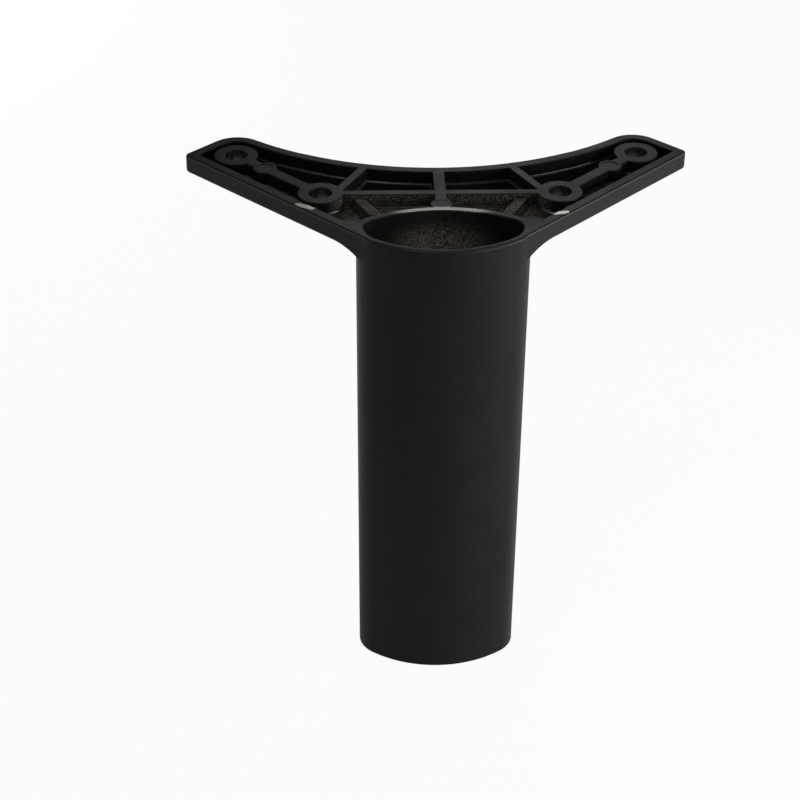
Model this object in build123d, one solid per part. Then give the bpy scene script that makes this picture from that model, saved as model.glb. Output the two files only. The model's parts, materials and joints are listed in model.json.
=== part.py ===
from build123d import *
import os
from math import atan2, degrees, radians, sqrt, tan

# Corner leg for a sofa or bed: a hollow oval leg cast in one with a right-angled corner plate.
# Origin at the middle of the foot, +Z up, the plate's corner towards -Y and its curved side towards +Y.

# Height from the floor to the mounting face
leg_height = 150.0

# Oval leg at the mounting face: half width, and half depths in front of and behind its widest line
leg_half_width = 25.2
leg_front_depth = 15.7
leg_back_depth = 12.0
front_end_radius = 11.0
back_end_radius = 7.0

# Taper of the leg to the foot on each side, and its walls
leg_taper = 0.75
leg_wall = 2.2
foot_wall = 3.0
foot_thickness = 5.0
foot_chamfer = 0.7

# Corner plate: a square set on its corner, with a quarter circle about its back corner taken out
plate_side = 108.5
plate_thickness = 5.9
arm_width = 22.0
leg_proud = 0.3
tip_radius = 1.6
back_corner_radius = 9.0
top_edge_radius = 0.6
lower_edge_radius = 1.2
neck_radius = 3.0

# Open top of the plate
pocket_depth = 4.3
rim_width = 3.2

# Screw bosses, and the gaps that part them from the rim along the front and at the end of the arm
boss_radius = 6.7
screw_hole_radius = 3.35
boss_gap = 1.0
boss_end_gap = 1.7
boss_spacing = 36.0

# Ribs that reach the mounting face
arm_rib_width = 3.7
cross_rib_width = 2.85
centre_rib_width = 3.6
diagonal_rib_width = 2.7
diagonal_rib_lean = 27.5
diagonal_rib_offset = 4.4

# Ejector pads, and the shallow round pin mark inside the edge of each
arm_pad_radius = 3.55
arm_pad_from_boss = 12.6
centre_pad_radius = 3.25
centre_pad_overlap = 1.35
side_pad_radius = 3.6
side_pad_overhang = 1.1
side_pad_y = 1.8
pin_mark_edge = 0.8
pin_mark_depth = 0.2

# Low webs from the cross rib to the leg, and low bridges from the inner bosses to the rim
low_rib_draft = 18.0
web_drop = 1.6
web_foot_width = 5.2
web_lean = 26.0
web_from_boss = 10.8
bridge_drop = 0.8
bridge_foot_width = 6.0
bridge_lean = 24.0

# Places worked out from the driving dimensions
plate_base = leg_height - plate_thickness
pocket_floor = leg_height - pocket_depth
front_face = (leg_half_width - front_end_radius) / sqrt(2) + front_end_radius - leg_proud
corner_y = -front_face * sqrt(2)
back_corner_y = corner_y + plate_side * sqrt(2)
back_radius = plate_side - arm_width
back_y = back_corner_y - back_radius
chord_y = -front_end_radius / sqrt(2)
boss_inset = rim_width + boss_gap + boss_radius
outer_boss_along = plate_side - rim_width - boss_end_gap - boss_radius


def arm_point(along, inset):
    """Plan point of the right arm: so far along its front face from the corner, and so far in from that face."""
    return Vector((along - inset) / sqrt(2), corner_y + (along + inset) / sqrt(2))


outer_boss = arm_point(outer_boss_along, boss_inset)
inner_boss = arm_point(outer_boss_along - boss_spacing, boss_inset)
arm_pad = arm_point(outer_boss_along - arm_pad_from_boss, boss_inset)
side_pad = Vector(leg_half_width + side_pad_overhang, side_pad_y)
centre_pad = Vector(0, leg_back_depth + centre_pad_radius - centre_pad_overlap)


def both_sides(right):
    return right + mirror(right, Plane.YZ)


def bar(start, end, width):
    """Plan of a straight rib from one point to another."""
    run = end - start
    turn = Vector(1, 0).get_signed_angle(run, Vector(0, 0, 1))
    return Pos((start + end) / 2) * Rot(0, 0, turn) * Rectangle(run.length, width)


def half_oval(half_width, depth, end_radius):
    """The back half of an oval about the origin: a wide arc between two tight end arcs, all tangent."""
    wide_radius = (half_width**2 + depth**2 - 2 * half_width * end_radius) / (2 * (depth - end_radius))
    end_x = half_width - end_radius
    sweep = degrees(atan2(wide_radius - depth, end_x))
    right = CenterArc((end_x, 0), end_radius, 0, sweep)
    wide = CenterArc((0, depth - wide_radius), wide_radius, sweep, 180 - 2 * sweep)
    left = CenterArc((-end_x, 0), end_radius, 180 - sweep, sweep)
    return [right, wide, left]


def leg_oval(inset, height):
    """The leg's section, drawn in by the inset: its widest line on the X axis, its front half fuller."""
    back = half_oval(leg_half_width - inset, leg_back_depth - inset, back_end_radius - inset)
    front = half_oval(leg_half_width - inset, leg_front_depth - inset, front_end_radius - inset)
    return Pos(0, 0, height) * make_face(back + [arc.mirror(Plane.XZ) for arc in front])


def plate_outline(inset):
    """The plate's outline, drawn in by the inset on every side and closed inside the leg at the front."""
    width = plate_side - 2 * inset
    square = Pos(0, (corner_y + back_corner_y) / 2) * Rot(0, 0, 45) * Rectangle(width, width)
    quarter = Pos(0, back_corner_y) * Circle(back_radius + inset)
    front = Pos(0, chord_y) * Rectangle(plate_side, plate_side, align=(Align.CENTER, Align.MAX))
    outline = square - quarter - front
    return fillet(outline.vertices().sort_by(Axis.Y)[-2:], back_corner_radius - inset)


def corner_plate():
    """The plate as a plain slab with its lower outer edges rounded."""
    outline = plate_outline(0)
    corners = outline.vertices().sort_by(Axis.X)
    outline = fillet([corners[0], corners[-1]], tip_radius)
    slab = extrude(Pos(0, 0, plate_base) * outline, plate_thickness)
    lower = slab.edges().group_by(Axis.Z)[0].sort_by(Axis.Y)[1:]
    return fillet(lower, lower_edge_radius)


def oval_leg():
    """The leg's outer form, tapering to the foot, with the foot's edge broken."""
    leg = loft([leg_oval(leg_taper, 0), leg_oval(0, leg_height)])
    return chamfer(leg.edges().group_by(Axis.Z)[0], foot_chamfer)


def leg_hollow():
    """The blind hollow that runs down the leg from the mounting face."""
    return loft([leg_oval(leg_taper + foot_wall, foot_thickness), leg_oval(leg_wall, leg_height)])


def outer_body():
    """Leg and plate as one, with a rounded neck under the plate and a rounded edge about the mounting face."""
    body = oval_leg() + corner_plate()
    seams = body.edges().filter_by(GeomType.BSPLINE)
    neck = seams.filter_by_position(Axis.Z, plate_base, leg_height, inclusive=(True, False))
    body = fillet(neck, neck_radius)
    return fillet(body.edges().group_by(Axis.Z)[-1], top_edge_radius)


def pads(edge):
    """Plan of the ejector pads, each drawn in by the edge."""
    right = Pos(arm_pad) * Circle(arm_pad_radius - edge)
    right += Pos(side_pad) * Circle(side_pad_radius - edge)
    return both_sides(right) + Pos(centre_pad) * Circle(centre_pad_radius - edge)


def standing_plan():
    """Plan of all that stands up to the mounting face inside the rim."""
    rib_start = inner_boss - Vector(diagonal_rib_offset, 0)
    rib_rise = back_y + rim_width - inner_boss.Y
    rib_end = rib_start + Vector(-rib_rise * tan(radians(diagonal_rib_lean)), rib_rise)
    right = Pos(outer_boss) * Circle(boss_radius)
    right += Pos(inner_boss) * Circle(boss_radius)
    right += bar(inner_boss, outer_boss, arm_rib_width)
    right += bar(rib_start, rib_end, diagonal_rib_width)
    right += bar(Vector(0, inner_boss.Y), inner_boss, cross_rib_width)
    middle = bar(centre_pad, Vector(0, back_y), centre_rib_width)
    return both_sides(right) + middle + pads(0) + leg_oval(0, 0)


def low_rib(start, end, foot_width, drop):
    """A rib with sloping sides that stands on the pocket's floor and stops short of the mounting face."""
    run = end - start
    section = Trapezoid(foot_width, pocket_depth - drop, 90 - low_rib_draft, align=(Align.CENTER, Align.MIN))
    across = Plane(start + Vector(0, 0, pocket_floor), x_dir=Vector(0, 0, 1).cross(run), z_dir=run)
    return extrude(across * section, run.length)


def low_ribs():
    """The webs that run from the cross rib to the leg, and the bridges that tie the inner bosses to the rim."""
    web_top = inner_boss - Vector(web_from_boss, 0)
    web_end = web_top - Vector(inner_boss.Y * tan(radians(web_lean)), inner_boss.Y)
    bridge_end = inner_boss + Vector(boss_inset * tan(radians(bridge_lean)), -boss_inset)
    web = low_rib(web_top, web_end, web_foot_width, web_drop)
    bridge = low_rib(inner_boss, bridge_end, bridge_foot_width, bridge_drop)
    return both_sides(web + bridge)


def plate_pockets():
    """The spaces between rim, bosses and ribs, less the low ribs that stand in them."""
    area = plate_outline(rim_width) - standing_plan()
    return extrude(Pos(0, 0, leg_height) * area, -pocket_depth) - low_ribs()


def pin_marks():
    return extrude(Pos(0, 0, leg_height) * pads(pin_mark_edge), -pin_mark_depth)


def screw_holes():
    right = Pos(outer_boss) * Circle(screw_hole_radius)
    right += Pos(inner_boss) * Circle(screw_hole_radius)
    return extrude(Pos(0, 0, leg_height) * both_sides(right), -plate_thickness)


leg_casting = outer_body() - leg_hollow() - plate_pockets() - pin_marks() - screw_holes()

os.makedirs("parts", exist_ok=True)
export_step(leg_casting, "parts/leg_casting.step")
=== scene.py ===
import json
from math import cos, hypot, radians, sin, sqrt

import bmesh
import bpy
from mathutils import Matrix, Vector

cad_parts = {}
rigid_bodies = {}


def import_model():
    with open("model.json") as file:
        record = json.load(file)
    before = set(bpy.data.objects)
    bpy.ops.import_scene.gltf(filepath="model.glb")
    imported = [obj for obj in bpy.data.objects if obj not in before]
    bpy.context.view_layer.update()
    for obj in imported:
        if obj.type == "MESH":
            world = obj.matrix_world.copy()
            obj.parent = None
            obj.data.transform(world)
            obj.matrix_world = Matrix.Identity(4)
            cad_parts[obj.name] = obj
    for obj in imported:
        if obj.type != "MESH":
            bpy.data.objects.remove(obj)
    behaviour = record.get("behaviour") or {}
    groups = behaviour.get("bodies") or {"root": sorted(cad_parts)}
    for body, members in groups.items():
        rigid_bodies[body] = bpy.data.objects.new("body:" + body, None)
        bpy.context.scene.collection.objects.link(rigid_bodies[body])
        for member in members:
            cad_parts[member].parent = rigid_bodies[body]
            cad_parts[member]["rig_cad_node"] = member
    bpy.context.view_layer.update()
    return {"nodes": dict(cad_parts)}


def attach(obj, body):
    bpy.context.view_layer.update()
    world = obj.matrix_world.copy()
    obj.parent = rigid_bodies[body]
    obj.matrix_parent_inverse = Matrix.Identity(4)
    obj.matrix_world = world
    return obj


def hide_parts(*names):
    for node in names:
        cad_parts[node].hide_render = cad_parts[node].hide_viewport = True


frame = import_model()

# Levels of the casting, in metres above the floor
mounting_z = 0.1500
pin_mark_z = 0.1498
bridge_top_z = 0.1492
web_top_z = 0.1484
pocket_floor_z = 0.1457
plate_base_z = 0.1441
hollow_floor_z = 0.0050
level_slack = 0.00002

# Oval of the leg: its half width and depths, the middles of its end arcs and wide arcs,
# the front arc's radius, and the share of the oval that lies inside the walls
leg_half_width = 0.0252
leg_front_depth = 0.0157
leg_back_depth = 0.0120
front_end_x = 0.0142
back_end_x = 0.0182
front_arc_y = 0.0191
back_arc_y = -0.03062
front_arc_radius = 0.0348
inside_walls = 0.94

# Screw bosses and ejector pads on the right; the left side mirrors them
inner_boss = (0.035355, 0.021438)
outer_boss = (0.060811, 0.046894)
boss_radius = 0.0067
screw_hole_reach = 0.0035
arm_pad = (0.0519, 0.03798)
arm_pad_radius = 0.00355
side_pad = (0.0263, 0.0018)
side_pad_radius = 0.0036
centre_pad = (0.0, 0.0139)
centre_pad_radius = 0.00325

# Half widths of two ribs, and the middles of the rim's long curve at the back and its curve at the arm's end
cross_rib_half = 0.001425
centre_rib_half = 0.0018
rim_back_middle = (0.0, 0.12411)
rim_end_middle = (0.060864, 0.050518)

# Angles between faces: the most within a flat face, and the least at a sharp edge, at a corner between
# two walls and at a break in the shading
flat_angle = radians(0.5)
sharp_angle = radians(30)
corner_angle = radians(40)
shading_angle = radians(50)

# Rounding of edges, and the two steps of the finest, as shares of its radius
edge_round = 0.00025
mouth_round = 0.0003
low_top_round = 0.0003
hollow_floor_round = 0.0025
first_step = 0.293
second_step = 0.707

# Pin marks this near the middle are raised, so that they show less
faint_mark_reach = 0.040
faint_mark_rise = 0.00011

# Rounded edges of the pockets' floor: their radii, how far a section is sunk in wall and floor, a small
# bite more, the bevel profile that hollows it, and the place inside the centre rib where some of them start
cove_round = 0.0007
boss_cove_round = 0.0012
cove_sunk = 0.0003
cove_bite = 0.00001
hollow_profile = 0.09
cove_start_x = 0.0005

# Rounding of the neck: its reach outwards, its height as a share of that, how far it is raised and then
# sunk in the plate, the bearing and radius where it starts, and how far out the plate's front faces lie
neck_reach = 0.0065
neck_flatness = 0.6
neck_raised = 0.0006
neck_sunk = 0.0005
neck_first_bearing = -40
neck_start_radius = 0.01091
front_face = 0.02071

# Front lip of the mouth: where its rows lie, how finely they are told apart, and how they are widened
lip_back_y = -0.003
lip_lowest_z = 0.14942
lip_width = 0.0012
lip_rows_per_metre = 100000
lip_half_length = 0.0212
lip_middle_half_length = 0.0173
lip_widening = 1.6

# Material slots of the casting
satin_slot = 0
pocket_slot = 1
hollow_slot = 2
pooled_slot = 3


def at(z, level):
    return abs(z - level) < level_slack


def level_edge(edge, level):
    """True for an edge that lies at this level."""
    return at(edge.verts[0].co.z, level) and at(edge.verts[1].co.z, level)


def start_cast_leg():
    """A merged copy of the casting, with its flat faces made whole."""
    bpy.ops.object.select_all(action="DESELECT")
    casting = frame["nodes"]["leg_casting"]
    casting.select_set(True)
    bpy.context.view_layer.objects.active = casting
    bpy.ops.object.duplicate()
    leg = bpy.context.active_object
    leg.name = "cast_leg"
    leg.data.name = "cast_leg"
    del leg["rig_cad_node"]
    bpy.ops.mesh.customdata_custom_splitnormals_clear()
    bpy.ops.object.mode_set(mode="EDIT")
    bpy.ops.mesh.select_all(action="SELECT")
    bpy.ops.mesh.remove_doubles(threshold=0.000002)
    bpy.ops.mesh.dissolve_limited(angle_limit=flat_angle)
    bpy.ops.mesh.select_all(action="DESELECT")
    return leg


def pick_faces(piece, wanted):
    """Selects the faces that the test picks, and no others."""
    bpy.ops.mesh.select_mode(type="FACE")
    bpy.ops.mesh.select_all(action="DESELECT")
    mesh = bmesh.from_edit_mesh(piece.data)
    for face in mesh.faces:
        if wanted(face):
            face.select_set(True)
    bmesh.update_edit_mesh(piece.data)


def pick_edges(piece, wanted):
    """Selects the sharp edges that the test picks, and no others."""
    bpy.ops.mesh.select_mode(type="EDGE")
    bpy.ops.mesh.select_all(action="DESELECT")
    mesh = bmesh.from_edit_mesh(piece.data)
    for edge in mesh.edges:
        if edge.calc_face_angle() > sharp_angle and wanted(edge):
            edge.select_set(True)
    bmesh.update_edit_mesh(piece.data)


def pick_verts(piece, wanted):
    """Selects the vertices that the test picks, and no others."""
    bpy.ops.mesh.select_mode(type="VERT")
    bpy.ops.mesh.select_all(action="DESELECT")
    mesh = bmesh.from_edit_mesh(piece.data)
    for vert in mesh.verts:
        if wanted(vert):
            vert.select_set(True)
    bmesh.update_edit_mesh(piece.data)


def lift_verts(piece, wanted, rise):
    pick_verts(piece, wanted)
    bpy.ops.transform.translate(value=(0.0, 0.0, rise))


def in_hollow(place):
    """True for a place inside the leg's walls."""
    depth = leg_front_depth if place.y < 0 else leg_back_depth
    return hypot(place.x / leg_half_width, place.y / depth) < inside_walls


def in_screw_hole(place):
    return any(hypot(abs(place.x) - x, place.y - y) < screw_hole_reach for x, y in (inner_boss, outer_boss))


def is_floor(face):
    return at(face.calc_center_median().z, pocket_floor_z) and face.normal.z > 0.9


def pocket_faces(leg):
    """The faces of the pockets: all that is reached from their floor below the mounting face."""
    mesh = bmesh.from_edit_mesh(leg.data)
    found = {face for face in mesh.faces if is_floor(face)}
    fresh = list(found)
    while fresh:
        face = fresh.pop()
        for edge in face.edges:
            if level_edge(edge, mounting_z):
                continue
            for beside in edge.link_faces:
                if beside not in found:
                    found.add(beside)
                    fresh.append(beside)
    return {face.index for face in found}


def is_hole_wall(face):
    return in_screw_hole(face.calc_center_median()) and abs(face.normal.z) < 0.05


def is_hollow(face):
    """True for a face of the hollow's floor, or of its walls, which look inwards."""
    middle = face.calc_center_median()
    if not in_hollow(middle) or not hollow_floor_z - 0.001 < middle.z < mounting_z - level_slack:
        return False
    return face.normal.z > 0.9 or face.normal.x * middle.x + face.normal.y * middle.y < 0


def is_cove(face):
    """True for a face of a rounded floor edge."""
    return 0.05 < face.normal.z < 0.985 and face.calc_center_median().z < pocket_floor_z + boss_cove_round


def near_mouth(edge):
    """True for an edge about the hollow's mouth."""
    return in_hollow(edge.verts[0].co) and in_hollow(edge.verts[1].co)


def is_low_top(edge):
    """True for an outer edge of the top of a low web or bridge."""
    return edge.is_convex and (level_edge(edge, web_top_z) or level_edge(edge, bridge_top_z))


def wall_end(vert, level):
    """True for a vertex at this level on a pocket's or a screw hole's wall."""
    on_wall = any(face.material_index in (pocket_slot, pooled_slot) for face in vert.link_faces)
    return at(vert.co.z, level) and on_wall


def next_to(vert, level, is_end):
    """True for a vertex at this level one step in from the ends that the test picks."""
    if not at(vert.co.z, level) or is_end(vert):
        return False
    return any(is_end(edge.other_vert(vert)) for edge in vert.link_edges)


def inset_twice(radius):
    """Draws two rows in from the outline of the picked faces, for an edge rounded in two steps."""
    bpy.ops.mesh.inset(thickness=first_step * radius, use_boundary=True, use_even_offset=True)
    bpy.ops.mesh.inset(thickness=second_step * radius, use_boundary=True, use_even_offset=True)


def crease_corners(leg):
    """Marks the two rows sharp where they turn a corner between two walls."""
    bpy.ops.mesh.select_mode(type="EDGE")
    bpy.ops.mesh.select_all(action="DESELECT")
    mesh = bmesh.from_edit_mesh(leg.data)
    for edge in mesh.edges:
        upper, lower = sorted(edge.verts, key=lambda v: -v.co.z)
        upright = hypot(upper.co.x - lower.co.x, upper.co.y - lower.co.y) < 0.00001
        if not (upright and wall_end(upper, mounting_z) and edge.calc_face_angle() > corner_angle):
            continue
        edge.select_set(True)
        for first_row in upper.link_edges:
            between = first_row.other_vert(upper)
            if not next_to(between, mounting_z, lambda v: wall_end(v, mounting_z)):
                continue
            first_row.select_set(True)
            for second_row in between.link_edges:
                inner = second_row.other_vert(between)
                beside_wall = any(wall_end(e.other_vert(inner), mounting_z) for e in inner.link_edges)
                if at(inner.co.z, mounting_z) and not beside_wall:
                    second_row.select_set(True)
    bmesh.update_edit_mesh(leg.data)
    bpy.ops.mesh.mark_sharp()


def round_ends(leg, level, is_end, radius):
    """Lifts the two rows at this level onto a round edge; a negative radius lowers them."""
    lift_verts(leg, lambda v: next_to(v, level, is_end), first_step * radius)
    lift_verts(leg, is_end, radius)


def ease_front_lip(leg, half_length):
    """Widens the rounded outer edge in front of the mouth, row by row, about the middle of the front arc."""
    bpy.ops.mesh.select_mode(type="VERT")
    mesh = bmesh.from_edit_mesh(leg.data)
    rows = {}
    for vert in mesh.verts:
        inwards = front_arc_radius - hypot(vert.co.x, vert.co.y - front_arc_y)
        at_front = abs(vert.co.x) < half_length and vert.co.y < lip_back_y and vert.co.z > lip_lowest_z
        if at_front and 0.0 < inwards < lip_width:
            rows.setdefault(round(inwards * lip_rows_per_metre), []).append(vert.index)
    for step, row in rows.items():
        pick_verts(leg, lambda v: v.index in row)
        inwards = step / lip_rows_per_metre
        shrink = (front_arc_radius - lip_widening * inwards) / (front_arc_radius - inwards)
        middle = (0.0, front_arc_y, mounting_z)
        bpy.ops.transform.resize(value=(shrink, shrink, 1.0), center_override=middle)


def start_section(name, x, y, facing, radius, foot_z, up, steps):
    """The section of a rounded inner corner, its back sunk in wall and floor; up is -1 where it hangs."""
    middle = (radius - cove_sunk) / 2 - cove_bite
    place = (x + middle * cos(facing), y + middle * sin(facing), foot_z + up * middle)
    if bpy.context.mode != "OBJECT":
        bpy.ops.object.mode_set(mode="OBJECT")
    bpy.ops.object.select_all(action="DESELECT")
    upright = (radians(90 * up), 0.0, facing)
    bpy.ops.mesh.primitive_plane_add(size=radius + cove_sunk, location=place, rotation=upright)
    section = bpy.context.active_object
    section.name = name
    bpy.ops.object.mode_set(mode="EDIT")
    pick_verts(section, lambda v: v.co.x > 0 and v.co.y > 0)
    bpy.ops.mesh.bevel(offset=radius, offset_type="OFFSET", segments=steps, profile=hollow_profile,
                       affect="VERTICES")
    bpy.ops.object.mode_set(mode="OBJECT")
    bpy.ops.object.transform_apply(location=True, rotation=True, scale=True)
    bpy.ops.object.mode_set(mode="EDIT")
    bpy.ops.mesh.select_mode(type="FACE")
    bpy.ops.mesh.select_all(action="SELECT")
    return section


def start_cove(name, x, y, bearing, radius=cove_round):
    """The section of a rounded floor edge at the foot of a wall that looks this way, in degrees."""
    start_section(name, x, y, radians(bearing), radius, pocket_floor_z, 1, 4)


def run_cove(dx, dy):
    bpy.ops.mesh.extrude_region_move(TRANSFORM_OT_translate={"value": (dx, dy, 0.0)})


def turn_cove(x, y, angle, steps):
    """Carries the section on about an upright axis, to the left for a positive angle."""
    middle = (x, y, pocket_floor_z)
    bpy.ops.mesh.spin(steps=steps, angle=radians(-angle), center=middle, axis=(0.0, 0.0, 1.0))


def straight_cove(name, start, bearing, run):
    start_cove(name, *start, bearing)
    run_cove(*run)


def ring_cove(name, middle, radius, first, angle, steps, cove_radius=cove_round):
    """A rounded floor edge about a round boss or pad, from its first bearing to the left."""
    x, y = middle
    start_cove(name, x + radius * cos(radians(first)), y + radius * sin(radians(first)), first, cove_radius)
    turn_cove(x, y, angle, steps)


def floor_coves():
    """The rounded edges where the pockets' floor meets the walls, right side first and then its mirror."""
    start_cove("back_rim_cove", cove_start_x, 0.03441, -89.68)
    turn_cove(*rim_back_middle, 39.27, 24)
    turn_cove(*rim_end_middle, -84.6, 10)
    run_cove(0.00829, -0.00829)
    straight_cove("front_rim_cove", (0.073044, 0.048237), 135, (-0.045608, -0.045608))
    cross_rib_y = inner_boss[1]
    straight_cove("cross_rib_back_cove", (cove_start_x, cross_rib_y + cross_rib_half), 90, (0.0305, 0.0))
    straight_cove("cross_rib_front_cove", (cove_start_x, cross_rib_y - cross_rib_half), -90, (0.0305, 0.0))
    straight_cove("centre_rib_cove", (centre_rib_half, 0.0125), 0, (0.0, 0.0235))
    straight_cove("diagonal_rib_left_cove", (0.029757, 0.020815), 207.5, (-0.009096, 0.017474))
    straight_cove("diagonal_rib_right_cove", (0.031229, 0.023835), 27.5, (-0.007849, 0.015079))
    straight_cove("arm_rib_front_cove", (0.040199, 0.023666), -45, (0.018385, 0.018385))
    straight_cove("arm_rib_back_cove", (0.037583, 0.026282), 135, (0.018385, 0.018385))
    start_cove("leg_wall_cove", cove_start_x, leg_back_depth, 89.33)
    turn_cove(0.0, back_arc_y, -30.06, 16)
    turn_cove(back_end_x, 0.0, -29.3, 5)
    ring_cove("inner_boss_cove", inner_boss, boss_radius, 53, 344, 48, boss_cove_round)
    ring_cove("outer_boss_cove", outer_boss, boss_radius, 233, 344, 48)
    ring_cove("arm_pad_left_cove", arm_pad, arm_pad_radius, 65, 140, 14)
    ring_cove("arm_pad_right_cove", arm_pad, arm_pad_radius, 245, 140, 14)
    ring_cove("side_pad_cove", side_pad, side_pad_radius, 35, 107, 12)
    ring_cove("centre_pad_cove", centre_pad, centre_pad_radius, -60, 135, 14)
    bpy.ops.object.mode_set(mode="OBJECT")
    bpy.ops.object.select_all(action="DESELECT")
    for piece in bpy.data.objects:
        if piece.name.endswith("_cove"):
            piece.select_set(True)
            bpy.context.view_layer.objects.active = piece
    bpy.ops.object.join()
    coves = bpy.context.active_object
    bpy.ops.object.modifier_add(type="MIRROR")
    bpy.ops.object.modifier_apply(modifier=coves.modifiers[-1].name)
    bpy.ops.object.mode_set(mode="EDIT")
    bpy.ops.mesh.select_all(action="SELECT")
    bpy.ops.mesh.normals_make_consistent(inside=False)
    bpy.ops.object.mode_set(mode="OBJECT")
    return coves


def neck_round():
    """The wide flat rounding under the plate about the leg, cut off at the plate's two front faces."""
    bearing = radians(neck_first_bearing)
    x = front_end_x + neck_start_radius * cos(bearing)
    y = neck_start_radius * sin(bearing)
    neck = start_section("neck_round", x, y, bearing, neck_reach, plate_base_z, -1, 10)
    bpy.ops.transform.resize(value=(1.0, 1.0, neck_flatness), center_override=(0.0, 0.0, plate_base_z))
    bpy.ops.transform.translate(value=(0.0, 0.0, neck_raised))
    lift_verts(neck, lambda v: v.co.z > plate_base_z + neck_raised + 0.0001, neck_sunk)
    bpy.ops.mesh.select_mode(type="FACE")
    bpy.ops.mesh.select_all(action="SELECT")
    turn_cove(front_end_x, 0.0, -neck_first_bearing, 12)
    turn_cove(back_end_x, 0.0, 59.27, 16)
    turn_cove(0.0, back_arc_y, 61.46, 32)
    turn_cove(-back_end_x, 0.0, 59.27, 16)
    turn_cove(-front_end_x, 0.0, -neck_first_bearing, 12)
    for side in (1.0, -1.0):
        bpy.ops.mesh.select_all(action="SELECT")
        on_face = (side * front_face / sqrt(2), -front_face / sqrt(2), 0.0)
        bpy.ops.mesh.bisect(plane_co=on_face, plane_no=(side, -1.0, 0.0), use_fill=True, clear_outer=True)
    bpy.ops.mesh.select_all(action="SELECT")
    bpy.ops.mesh.normals_make_consistent(inside=False)
    bpy.ops.object.mode_set(mode="OBJECT")
    return neck


def cast_on(leg, piece):
    """Casts the piece in one with the leg."""
    bpy.ops.object.select_all(action="DESELECT")
    leg.select_set(True)
    bpy.context.view_layer.objects.active = leg
    bpy.ops.object.modifier_add(type="BOOLEAN")
    union = leg.modifiers[-1]
    union.operation = "UNION"
    union.solver = "EXACT"
    union.use_self = True
    union.object = piece
    bpy.ops.object.modifier_apply(modifier=union.name)
    bpy.ops.object.select_all(action="DESELECT")
    piece.select_set(True)
    bpy.ops.object.delete()


def round_inner_corners(leg):
    """Adds the rounded floor edges and the rounding of the neck, and makes the pockets' flat faces whole."""
    bpy.ops.object.mode_set(mode="OBJECT")
    cast_on(leg, floor_coves())
    cast_on(leg, neck_round())
    leg.select_set(True)
    bpy.context.view_layer.objects.active = leg
    bpy.ops.object.mode_set(mode="EDIT")
    in_pockets = pocket_faces(leg)
    pick_faces(leg, lambda f: f.index in in_pockets)
    bpy.ops.mesh.remove_doubles(threshold=0.000004)
    bpy.ops.mesh.dissolve_limited(angle_limit=flat_angle)
    bpy.ops.mesh.select_all(action="DESELECT")


def coat_faces(leg, slot, wanted):
    """Gives the faces that the test picks the material in this slot."""
    pick_faces(leg, wanted)
    leg.active_material_index = slot
    bpy.ops.object.material_slot_assign()


def add_node(tree, kind, **values):
    """A node with its sockets set by name."""
    node = tree.nodes.new(kind)
    for name, value in values.items():
        node.inputs[name.replace("_", " ")].default_value = value
    return node


def ramp(tree, source, low, high, start=0.0, end=1.0):
    """A smooth step from start to end as the source goes from low to high."""
    step = add_node(tree, "ShaderNodeMapRange", From_Min=low, From_Max=high, To_Min=start, To_Max=end)
    step.interpolation_type = "SMOOTHSTEP"
    tree.links.new(source, step.inputs["Value"])
    return step.outputs["Result"]


def combine(tree, how, first, second):
    math = tree.nodes.new("ShaderNodeMath")
    math.operation = how
    for socket, value in zip(math.inputs, (first, second)):
        if isinstance(value, float):
            socket.default_value = value
        else:
            tree.links.new(value, socket)
    return math.outputs[0]


def product(tree, *factors):
    """All the factors multiplied, one after the other."""
    total = factors[0]
    for factor in factors[1:]:
        total = combine(tree, "MULTIPLY", total, factor)
    return total


def blend_colours(tree, share, first, second):
    mix = tree.nodes.new("ShaderNodeMix")
    mix.data_type = "RGBA"
    for socket, colour in ((mix.inputs["A"], first), (mix.inputs["B"], second)):
        if isinstance(colour, tuple):
            socket.default_value = colour
        else:
            tree.links.new(colour, socket)
    tree.links.new(share, mix.inputs["Factor"])
    return mix.outputs["Result"]


def blend_shaders(tree, share, first, second):
    mix = tree.nodes.new("ShaderNodeMixShader")
    for socket, source in zip(mix.inputs, (share, first, second)):
        tree.links.new(source, socket)
    tree.links.new(mix.outputs[0], tree.nodes["Material Output"].inputs["Surface"])


def grain(tree, place, size, detail, roughness):
    """Even noise with grains of about this size, in metres."""
    noise = add_node(tree, "ShaderNodeTexNoise", Scale=1.0 / size, Detail=detail, Roughness=roughness)
    tree.links.new(place, noise.inputs["Vector"])
    return noise.outputs["Fac"]


def relief(tree, height, depth, strength):
    bump = add_node(tree, "ShaderNodeBump", Strength=strength, Distance=depth)
    tree.links.new(height, bump.inputs["Height"])
    return bump.outputs["Normal"]


def vector_node(tree, how, first, second):
    """A vector operation on a linked place and a second place, linked or fixed."""
    node = tree.nodes.new("ShaderNodeVectorMath")
    node.operation = how
    tree.links.new(first, node.inputs[0])
    if isinstance(second, (tuple, Vector)):
        node.inputs[1].default_value = second
    else:
        tree.links.new(second, node.inputs[1])
    return node


def streak(tree, place, start, end, inner, outer):
    """A soft long patch about the line between two points of the mounting face."""
    line = Vector((end[0] - start[0], end[1] - start[1], 0.0))
    from_start = vector_node(tree, "SUBTRACT", place, (*start, mounting_z)).outputs[0]
    along = vector_node(tree, "DOT_PRODUCT", from_start, line / line.length_squared).outputs["Value"]
    nearest = tree.nodes.new("ShaderNodeVectorMath")
    nearest.operation = "SCALE"
    nearest.inputs[0].default_value = line
    share = combine(tree, "MINIMUM", combine(tree, "MAXIMUM", along, 0.0), 1.0)
    tree.links.new(share, nearest.inputs["Scale"])
    reach = vector_node(tree, "DISTANCE", from_start, nearest.outputs[0]).outputs["Value"]
    return ramp(tree, reach, inner, outer, 1.0, 0.0)


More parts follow.
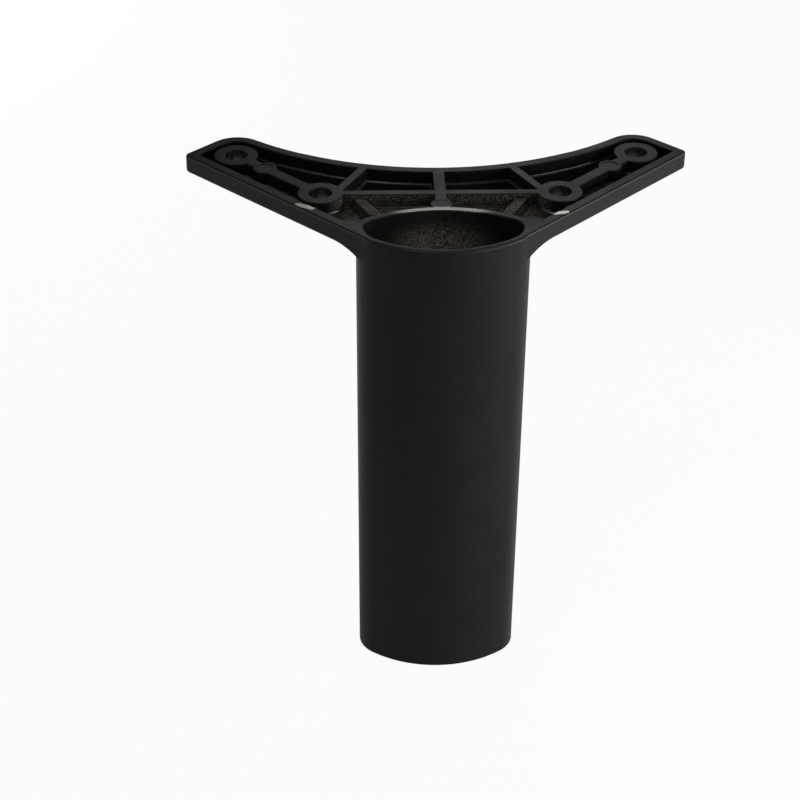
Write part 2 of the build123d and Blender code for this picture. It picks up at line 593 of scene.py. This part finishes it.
def start_material(name):
    """A new material, with its coat and the piece's own coordinates, whole and by axis."""
    material = bpy.data.materials.new(name)
    material.use_nodes = True
    tree = material.node_tree
    place = tree.nodes.new("ShaderNodeTexCoord").outputs["Object"]
    axes = tree.nodes.new("ShaderNodeSeparateXYZ")
    tree.links.new(place, axes.inputs[0])
    return material, tree, tree.nodes["Principled BSDF"], place, axes.outputs


def from_middle(tree, axes):
    """The distance to either side of the middle."""
    return combine(tree, "ABSOLUTE", axes["X"], 0.0)


def painted_edge_highlight(tree, axes):
    """Painted highlight on the rounded top edge: on both arms, and along the right of the mouth."""
    lower = ramp(tree, axes["Z"], 0.14925, 0.14945)
    upper = ramp(tree, axes["Z"], 0.14965, 0.14985, 1.0, 0.0)
    arms = ramp(tree, from_middle(tree, axes), 0.020, 0.026)
    right_lip = ramp(tree, axes["X"], 0.0, 0.012)
    return product(tree, lower, upper, combine(tree, "MAXIMUM", arms, right_lip))


def rubbed_band_and_sheen(tree, axes):
    """Metal on the lip behind the mouth, partly coat rubbed through and partly a painted sheen."""
    middle = ramp(tree, from_middle(tree, axes), 0.009, 0.017, 0.44, 0.0)
    front = ramp(tree, axes["Y"], 0.0080, 0.0090)
    back = ramp(tree, axes["Y"], 0.0119, 0.0123, 1.0, 0.0)
    top = ramp(tree, axes["Z"], 0.14960, 0.14995)
    return product(tree, middle, front, back, top)


def painted_glint_streaks(tree, place):
    """Painted glints: a ragged streak of metal on each front rim, near the inner bosses."""
    left = streak(tree, place, (-0.0418, 0.0141), (-0.0378, 0.0119), 0.0004, 0.0014)
    right = streak(tree, place, (0.0324, 0.0075), (0.0361, 0.0082), 0.0003, 0.0013)
    ragged = combine(tree, "ADD", combine(tree, "MAXIMUM", left, right), grain(tree, place, 0.0009, 3.0, 0.7))
    return ramp(tree, ragged, 0.70, 1.20)


def satin_black_coat():
    """Satin black powder coat: a fine orange peel, faint cloudiness, a painted highlight on the rounded top
    edges, and metal patches, partly rubbed-through coat and partly painted glints and sheen.
    """
    material, tree, coat, place, axes = start_material("satin_black_coat")
    black = (0.0152, 0.0144, 0.0131, 1.0)
    cloudy_black = (0.0176, 0.0167, 0.0152, 1.0)
    # Grey of the painted highlight line on the rounded top edges
    highlight_grey = (0.050, 0.0475, 0.043, 1.0)
    glint_and_bare_metal = (0.22, 0.211, 0.193, 1.0)
    clouds = grain(tree, place, 0.012, 3.0, 0.55)
    peel = grain(tree, place, 0.0007, 2.0, 0.5)
    tone = blend_colours(tree, ramp(tree, clouds, 0.3, 0.7), black, cloudy_black)
    # Paints the highlight line onto the rounded top edges
    tone = blend_colours(tree, painted_edge_highlight(tree, axes), tone, highlight_grey)
    tree.links.new(tone, coat.inputs["Base Color"])
    tree.links.new(ramp(tree, clouds, 0.25, 0.75, 0.34, 0.42), coat.inputs["Roughness"])
    coat.inputs["Specular IOR Level"].default_value = 0.095
    coat.inputs["Specular Tint"].default_value = (1.0, 0.96, 0.90, 1.0)
    tree.links.new(relief(tree, peel, 0.00003, 0.25), coat.inputs["Normal"])
    # Metal of the patches: rubbed-through coat on the lip, and painted glints on the front rims
    metal = add_node(tree, "ShaderNodeBsdfPrincipled", Base_Color=glint_and_bare_metal, Metallic=1.0, Roughness=0.24)
    # Where the metal shows: the rubbed lip with its painted sheen, and the painted glint streaks
    rubbed = combine(tree, "MAXIMUM", rubbed_band_and_sheen(tree, axes), painted_glint_streaks(tree, place))
    blend_shaders(tree, rubbed, coat.outputs[0], metal.outputs[0])
    return material


def pocket_coat():
    """Thin dull coat in the pockets, its black darkened as painted shade, with cast metal showing through in
    specks near the leg and fewer further back, their brightness partly painted light.
    """
    material, tree, coat, place, axes = start_material("pocket_coat")
    # Black darkened below the coat's own, as painted shade in the pockets
    dull_shaded_black = (0.0052, 0.0044, 0.0035, 1.0)
    lit_bare_specks = (0.36, 0.32, 0.265, 1.0)
    specks = grain(tree, place, 0.00036, 3.0, 0.75)
    # Specks thick near the leg and sparse further back: partly the cast metal, partly painted light and shade
    near_leg = ramp(tree, axes["Y"], 0.0192, 0.0208, 1.0, 0.0)
    thin = product(tree, near_leg, ramp(tree, from_middle(tree, axes), 0.026, 0.034, 1.0, 0.0))
    thin = combine(tree, "ADD", product(tree, thin, 0.9), 0.02)
    bare = product(tree, ramp(tree, specks, 0.40, 0.72), thin)
    tree.links.new(blend_colours(tree, bare, dull_shaded_black, lit_bare_specks), coat.inputs["Base Color"])
    coat.inputs["Roughness"].default_value = 0.62
    coat.inputs["Specular IOR Level"].default_value = 0.06
    tree.links.new(relief(tree, specks, 0.00010, 0.5), coat.inputs["Normal"])
    return material


def hollow_coat():
    """Rough cast wall of the hollow, with painted light: painted shade about the mouth and to the sides, and
    bright specks painted lower down towards the middle.
    """
    material, tree, coat, place, axes = start_material("hollow_coat")
    dull_shaded_black = (0.0050, 0.0041, 0.0032, 1.0)
    lit_bare_specks = (0.62, 0.57, 0.48, 1.0)
    specks = grain(tree, place, 0.00045, 3.0, 0.8)
    # Painted light: specks bright towards the middle and lower down, painted shade about the mouth and to the
    # sides
    middle = ramp(tree, from_middle(tree, axes), 0.003, 0.018, 1.0, 0.03)
    below_mouth = ramp(tree, axes["Z"], 0.137, 0.1475, 1.0, 0.05)
    bare = product(tree, ramp(tree, specks, 0.33, 0.72), middle, below_mouth)
    tree.links.new(blend_colours(tree, bare, dull_shaded_black, lit_bare_specks), coat.inputs["Base Color"])
    coat.inputs["Roughness"].default_value = 0.5
    coat.inputs["Specular IOR Level"].default_value = 0.15
    tree.links.new(relief(tree, specks, 0.00012, 0.7), coat.inputs["Normal"])
    return material


def pooled_coat_with_painted_light():
    """Glossy coat of the rounded floor edges, its black lightened as a painted highlight along them; darker
    higher up, on low ribs and in holes, as painted shade.
    """
    material, tree, coat, place, axes = start_material("pooled_coat_with_painted_light")
    # Black lightened above the coat's own, so that the rounded floor edges show painted highlight lines
    pooled_lit_black = (0.020, 0.0186, 0.0163, 1.0)
    pooled_lit_grey = (0.030, 0.0280, 0.0250, 1.0)
    shaded_hole_black = (0.0060, 0.0054, 0.0046, 1.0)
    ripples = grain(tree, place, 0.0025, 2.0, 0.6)
    tone = blend_colours(tree, ramp(tree, ripples, 0.3, 0.7), pooled_lit_black, pooled_lit_grey)
    # Painted shade: darker higher up, on the low ribs and the screw holes' walls
    tone = blend_colours(tree, ramp(tree, axes["Z"], 0.1468, 0.1482), tone, shaded_hole_black)
    tree.links.new(tone, coat.inputs["Base Color"])
    tree.links.new(ramp(tree, ripples, 0.25, 0.75, 0.26, 0.36), coat.inputs["Roughness"])
    coat.inputs["Specular IOR Level"].default_value = 0.7
    tree.links.new(relief(tree, ripples, 0.00004, 0.2), coat.inputs["Normal"])
    return material


def white_floor():
    """Pale paper that the camera sees as nearly white, with the leg's faint shadow on it."""
    material = bpy.data.materials.new("white_floor")
    material.use_nodes = True
    tree = material.node_tree
    tree.nodes.remove(tree.nodes["Principled BSDF"])
    paper = add_node(tree, "ShaderNodeBsdfDiffuse", Color=(0.9, 0.9, 0.9, 1.0))
    glow = add_node(tree, "ShaderNodeEmission", Strength=1.0)
    rays = tree.nodes.new("ShaderNodeLightPath").outputs
    mirrored = combine(tree, "MAXIMUM", rays["Is Glossy Ray"], rays["Is Transmission Ray"])
    seen = product(tree, rays["Is Camera Ray"], 0.95)
    share = combine(tree, "MAXIMUM", seen, product(tree, mirrored, 0.1))
    blend_shaders(tree, share, paper.outputs[0], glow.outputs[0])
    return material


def softbox(name, place, aim, width, height, power):
    bpy.ops.object.light_add(type="AREA", location=place)
    lamp = bpy.context.active_object
    lamp.name = name
    lamp.data.shape = "RECTANGLE"
    lamp.data.size = width
    lamp.data.size_y = height
    lamp.data.energy = power
    lamp.rotation_euler = (Vector(aim) - Vector(place)).to_track_quat("-Z", "Y").to_euler()


# The casting and its coats
cast_leg = start_cast_leg()
round_inner_corners(cast_leg)
cast_leg.data.materials.clear()
for finish in (satin_black_coat, pocket_coat, hollow_coat, pooled_coat_with_painted_light):
    cast_leg.data.materials.append(finish())
in_pockets = pocket_faces(cast_leg)
coat_faces(cast_leg, pocket_slot, lambda f: f.index in in_pockets)
coat_faces(cast_leg, hollow_slot, is_hollow)
coat_faces(cast_leg, pooled_slot, lambda f: is_hole_wall(f) or f.index in in_pockets and is_cove(f))

# Mouth of the hollow, its floor and its front lip
pick_edges(cast_leg, lambda e: level_edge(e, mounting_z) and near_mouth(e))
bpy.ops.mesh.bevel(offset=mouth_round, segments=3, affect="EDGES", clamp_overlap=False, material=satin_slot)
pick_edges(cast_leg, lambda e: level_edge(e, hollow_floor_z))
bpy.ops.mesh.bevel(offset=hollow_floor_round, segments=5, affect="EDGES", clamp_overlap=False)
ease_front_lip(cast_leg, lip_half_length)
ease_front_lip(cast_leg, lip_middle_half_length)

# Tops of the low webs and bridges, and the fainter pin marks near the leg
pick_edges(cast_leg, is_low_top)
bpy.ops.mesh.bevel(offset=low_top_round, segments=2, affect="EDGES", material=pooled_slot)
lift_verts(cast_leg, lambda v: at(v.co.z, pin_mark_z) and abs(v.co.x) < faint_mark_reach, faint_mark_rise)

# Edges of the pockets, the ribs and the screw holes
pick_faces(cast_leg, lambda f: f.material_index not in (pocket_slot, pooled_slot))
inset_twice(edge_round)
crease_corners(cast_leg)
round_ends(cast_leg, plate_base_z, lambda v: wall_end(v, plate_base_z), edge_round)
round_ends(cast_leg, mounting_z, lambda v: wall_end(v, mounting_z), -edge_round)
bpy.ops.object.mode_set(mode="OBJECT")
bpy.ops.object.shade_smooth_by_angle(angle=shading_angle, keep_sharp_edges=True)
bpy.ops.object.modifier_add(type="WEIGHTED_NORMAL")
cast_leg.modifiers[-1].keep_sharp = True
bpy.ops.object.modifier_apply(modifier=cast_leg.modifiers[-1].name)
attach(cast_leg, "root")
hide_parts("leg_casting")

# Floor
bpy.ops.object.select_all(action="DESELECT")
bpy.ops.mesh.primitive_plane_add(size=8.0, location=(0.0, 0.0, 0.0))
floor = bpy.context.active_object
floor.name = "studio_floor"
floor.data.materials.append(white_floor())

# Light: a dim white room that the camera sees as white, and five softboxes
world = bpy.data.worlds.new("studio")
bpy.context.scene.world = world
world.use_nodes = True
room = world.node_tree
room.nodes["Background"].inputs["Color"].default_value = (1.0, 1.0, 1.0, 1.0)
seen_room = room.nodes.new("ShaderNodeLightPath").outputs["Is Camera Ray"]
room.links.new(ramp(room, seen_room, 0.0, 1.0, 0.055, 1.0), room.nodes["Background"].inputs["Strength"])
softbox("key_right", (0.46, -0.13, 0.20), (0.05, 0.0, 0.04), 0.3, 0.34, 2.35)
softbox("fill_left", (-0.45, -0.10, 0.22), (0.0, 0.0, 0.06), 0.3, 0.3, 0.42)
softbox("back", (0.085, 0.95, 0.66), (0.0, 0.02, 0.15), 0.26, 0.4, 0.80)
softbox("back_low", (-0.40, 0.50, 0.07), (0.0, 0.0, 0.07), 0.4, 0.13, 2.2)
softbox("overhead", (-0.30, -0.38, 1.02), (0.0, 0.0, 0.15), 0.3, 0.14, 1.25)

# Camera at the photograph's viewing angle
bpy.ops.object.camera_add(location=(-0.03095, -0.54533, 0.44183),
                          rotation=(radians(57.271), radians(-0.410), radians(-1.717)))
camera = bpy.context.active_object
camera.data.sensor_width = 36.0
camera.data.lens = 97.174
camera.data.clip_start = 0.01
bpy.context.scene.camera = camera

bpy.context.scene.view_settings.view_transform = "Standard"
